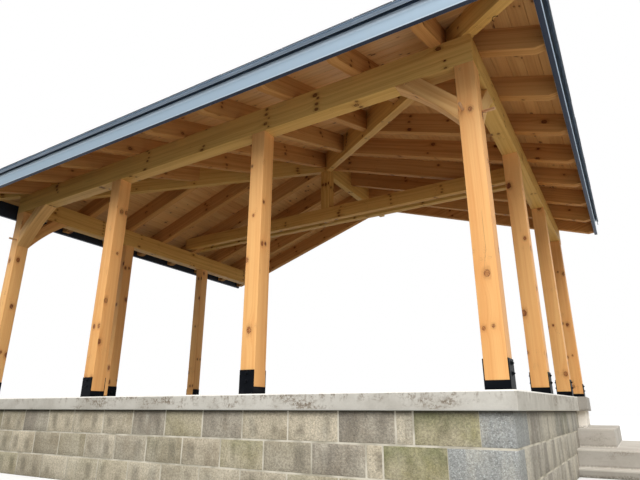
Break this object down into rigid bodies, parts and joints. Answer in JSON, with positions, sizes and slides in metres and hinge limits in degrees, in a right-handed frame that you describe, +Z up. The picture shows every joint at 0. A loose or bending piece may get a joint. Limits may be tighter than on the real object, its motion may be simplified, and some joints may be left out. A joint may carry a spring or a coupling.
{
  "type": "porch canopy",
  "caption": "Timber-framed porch canopy with a hipped shingle roof, on square posts with steel bases, standing on a concrete slab over a low block base with entry steps.",
  "frame": {"origin": "centre of the underside of the block base, on the ground", "axes": "+X to the right seen from in front, +Y from the front towards the line where the roof stops, +Z up"},
  "size_m": [7.042, 5.438, 4.4311],
  "materials": {
    "block": "coarse split concrete block with light mortar joints",
    "slab_concrete": "trowelled pale grey concrete, lightly stained",
    "gravel": "packed gravel",
    "step_concrete": "pale cast concrete",
    "post_wood": "clear-stained knotty pine",
    "beam_wood": "clear-stained pine",
    "rafter_wood": "clear-stained pine",
    "brace_wood": "clear-stained pine",
    "peg_wood": "turned hardwood",
    "board_wood": "clear-stained tongue-and-groove boards",
    "black_steel": "black powder coat",
    "shingle": "granule-faced asphalt shingle",
    "fascia_metal": "dark satin cladding",
    "trim_metal": "dark satin edge metal",
    "flashing_metal": "dull sheet"
  },
  "bodies": {
    "root": {"front_wall": "block", "left_wall": "block", "right_wall": "block", "back_wall": "block", "slab": "slab_concrete", "base_fill": "gravel", "entry_steps": "step_concrete", "corner_posts": "post_wood", "front_posts": "post_wood", "right_posts": "post_wood", "left_posts": "post_wood", "corner_bases": "black_steel", "front_bases": "black_steel", "right_bases": "black_steel", "left_bases": "black_steel", "front_beam": "beam_wood", "right_beam": "beam_wood", "left_beam": "beam_wood", "tie_beams": "beam_wood", "king_post": "beam_wood", "ridge_beam": "beam_wood", "right_hip": "beam_wood", "left_hip": "beam_wood", "front_rafters": "rafter_wood", "right_rafters": "rafter_wood", "left_rafters": "rafter_wood", "wall_rafters": "rafter_wood", "front_braces": "brace_wood", "side_braces": "brace_wood", "pegs": "peg_wood", "front_deck": "board_wood", "right_deck": "board_wood", "left_deck": "board_wood", "front_shingles": "shingle", "right_shingles": "shingle", "left_shingles": "shingle", "hip_caps": "shingle", "ridge_cap": "shingle", "front_fascia": "fascia_metal", "right_fascia": "fascia_metal", "left_fascia": "fascia_metal", "front_trim": "trim_metal", "right_trim": "trim_metal", "left_trim": "trim_metal", "wall_flashing": "flashing_metal"}
  },
  "joints": []
}
